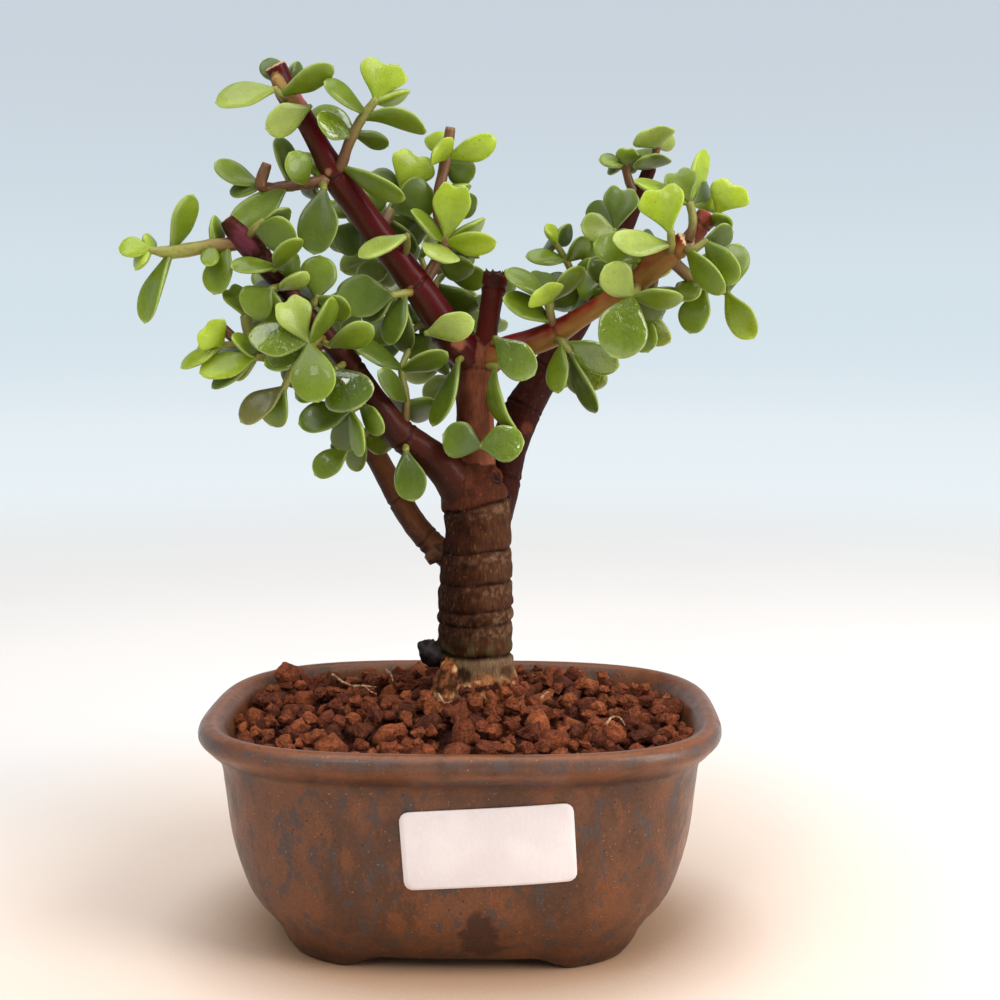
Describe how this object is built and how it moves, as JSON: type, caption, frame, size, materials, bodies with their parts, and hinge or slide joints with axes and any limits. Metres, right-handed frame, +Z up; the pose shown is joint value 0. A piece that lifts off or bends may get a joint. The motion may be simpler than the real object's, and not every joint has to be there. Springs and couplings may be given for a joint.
{
  "type": "potted dwarf jade bonsai",
  "caption": "Dwarf jade bonsai with a thick trunk, forking cut-back boughs and fleshy oval leaves, planted in granular soil in a glazed rounded rectangular pot on low feet.",
  "frame": {"origin": "on the table, under the middle of the whole object's bounding box", "axes": "+Z up, -Y towards the pot's front with the label, +X to the right seen from the front"},
  "size_m": [0.1714, 0.1316, 0.2422],
  "materials": {
    "pot_glaze": "satin brown glaze with blue-grey mottling, orange-brown at the rim",
    "granules": "matt reddish-brown baked clay and lava granules",
    "mesh_plastic": "dark drain mesh",
    "bark": "dark brown bark with ring scars, maroon and satin on the young boughs",
    "leaf": "waxy, fleshy green leaves, satin to glossy; plastic stands in for living leaf",
    "label_paper": "blank white coated paper label"
  },
  "bodies": {
    "root": {"pot": "pot_glaze", "soil": "granules", "drain_mesh_left": "mesh_plastic", "drain_mesh_right": "mesh_plastic", "trunk": "bark", "blank_label": "label_paper", "shoot_crown_left": "leaf", "shoot_crown_back": "leaf", "shoot_crown_front": "leaf", "shoot_crown_right": "leaf", "shoot_left_node": "leaf", "shoot_behind_main": "leaf", "shoot_main_left_back": "leaf", "shoot_tall_back": "leaf", "shoot_front_leaf": "leaf", "shoot_between_upper": "leaf", "shoot_between_lower": "leaf", "shoot_fork_front": "leaf", "shoot_main_left_low": "leaf", "shoot_under_main": "leaf", "shoot_fork_left_leaf": "leaf", "shoot_middle_low": "leaf", "shoot_rosette": "leaf", "shoot_round_front": "leaf", "shoot_low_left_stub": "leaf", "shoot_low_middle": "leaf", "shoot_low_drop": "leaf", "shoot_under_bough": "leaf", "shoot_outer_curl": "leaf", "shoot_low_left_mid": "leaf", "shoot_low_left_under": "leaf", "shoot_low_left_over": "leaf", "shoot_long_left": "leaf", "shoot_trunk_pair": "leaf", "shoot_fork_long_leaf": "leaf", "shoot_fork_round_leaf": "leaf", "shoot_right_upright_twig": "leaf", "shoot_right_under": "leaf", "shoot_right_big_leaf": "leaf", "shoot_right_inner": "leaf", "shoot_right_lower_twig": "leaf", "shoot_right_node": "leaf", "shoot_right_heart": "leaf", "shoot_right_tip": "leaf", "shoot_right_end": "leaf", "shoot_right_end_low": "leaf", "shoot_right_drop": "leaf", "shoot_back_inner": "leaf", "shoot_back_heart": "leaf", "shoot_back_small_twig": "leaf", "shoot_back_crown": "leaf", "shoot_back_low": "leaf", "shoot_back_mid": "leaf", "shoot_back_tip": "leaf", "shoot_main_back": "leaf", "shoot_low_back": "leaf", "shoot_outer_back": "leaf", "shoot_right_back": "leaf", "shoot_right_back_top": "leaf"}
  },
  "joints": []
}
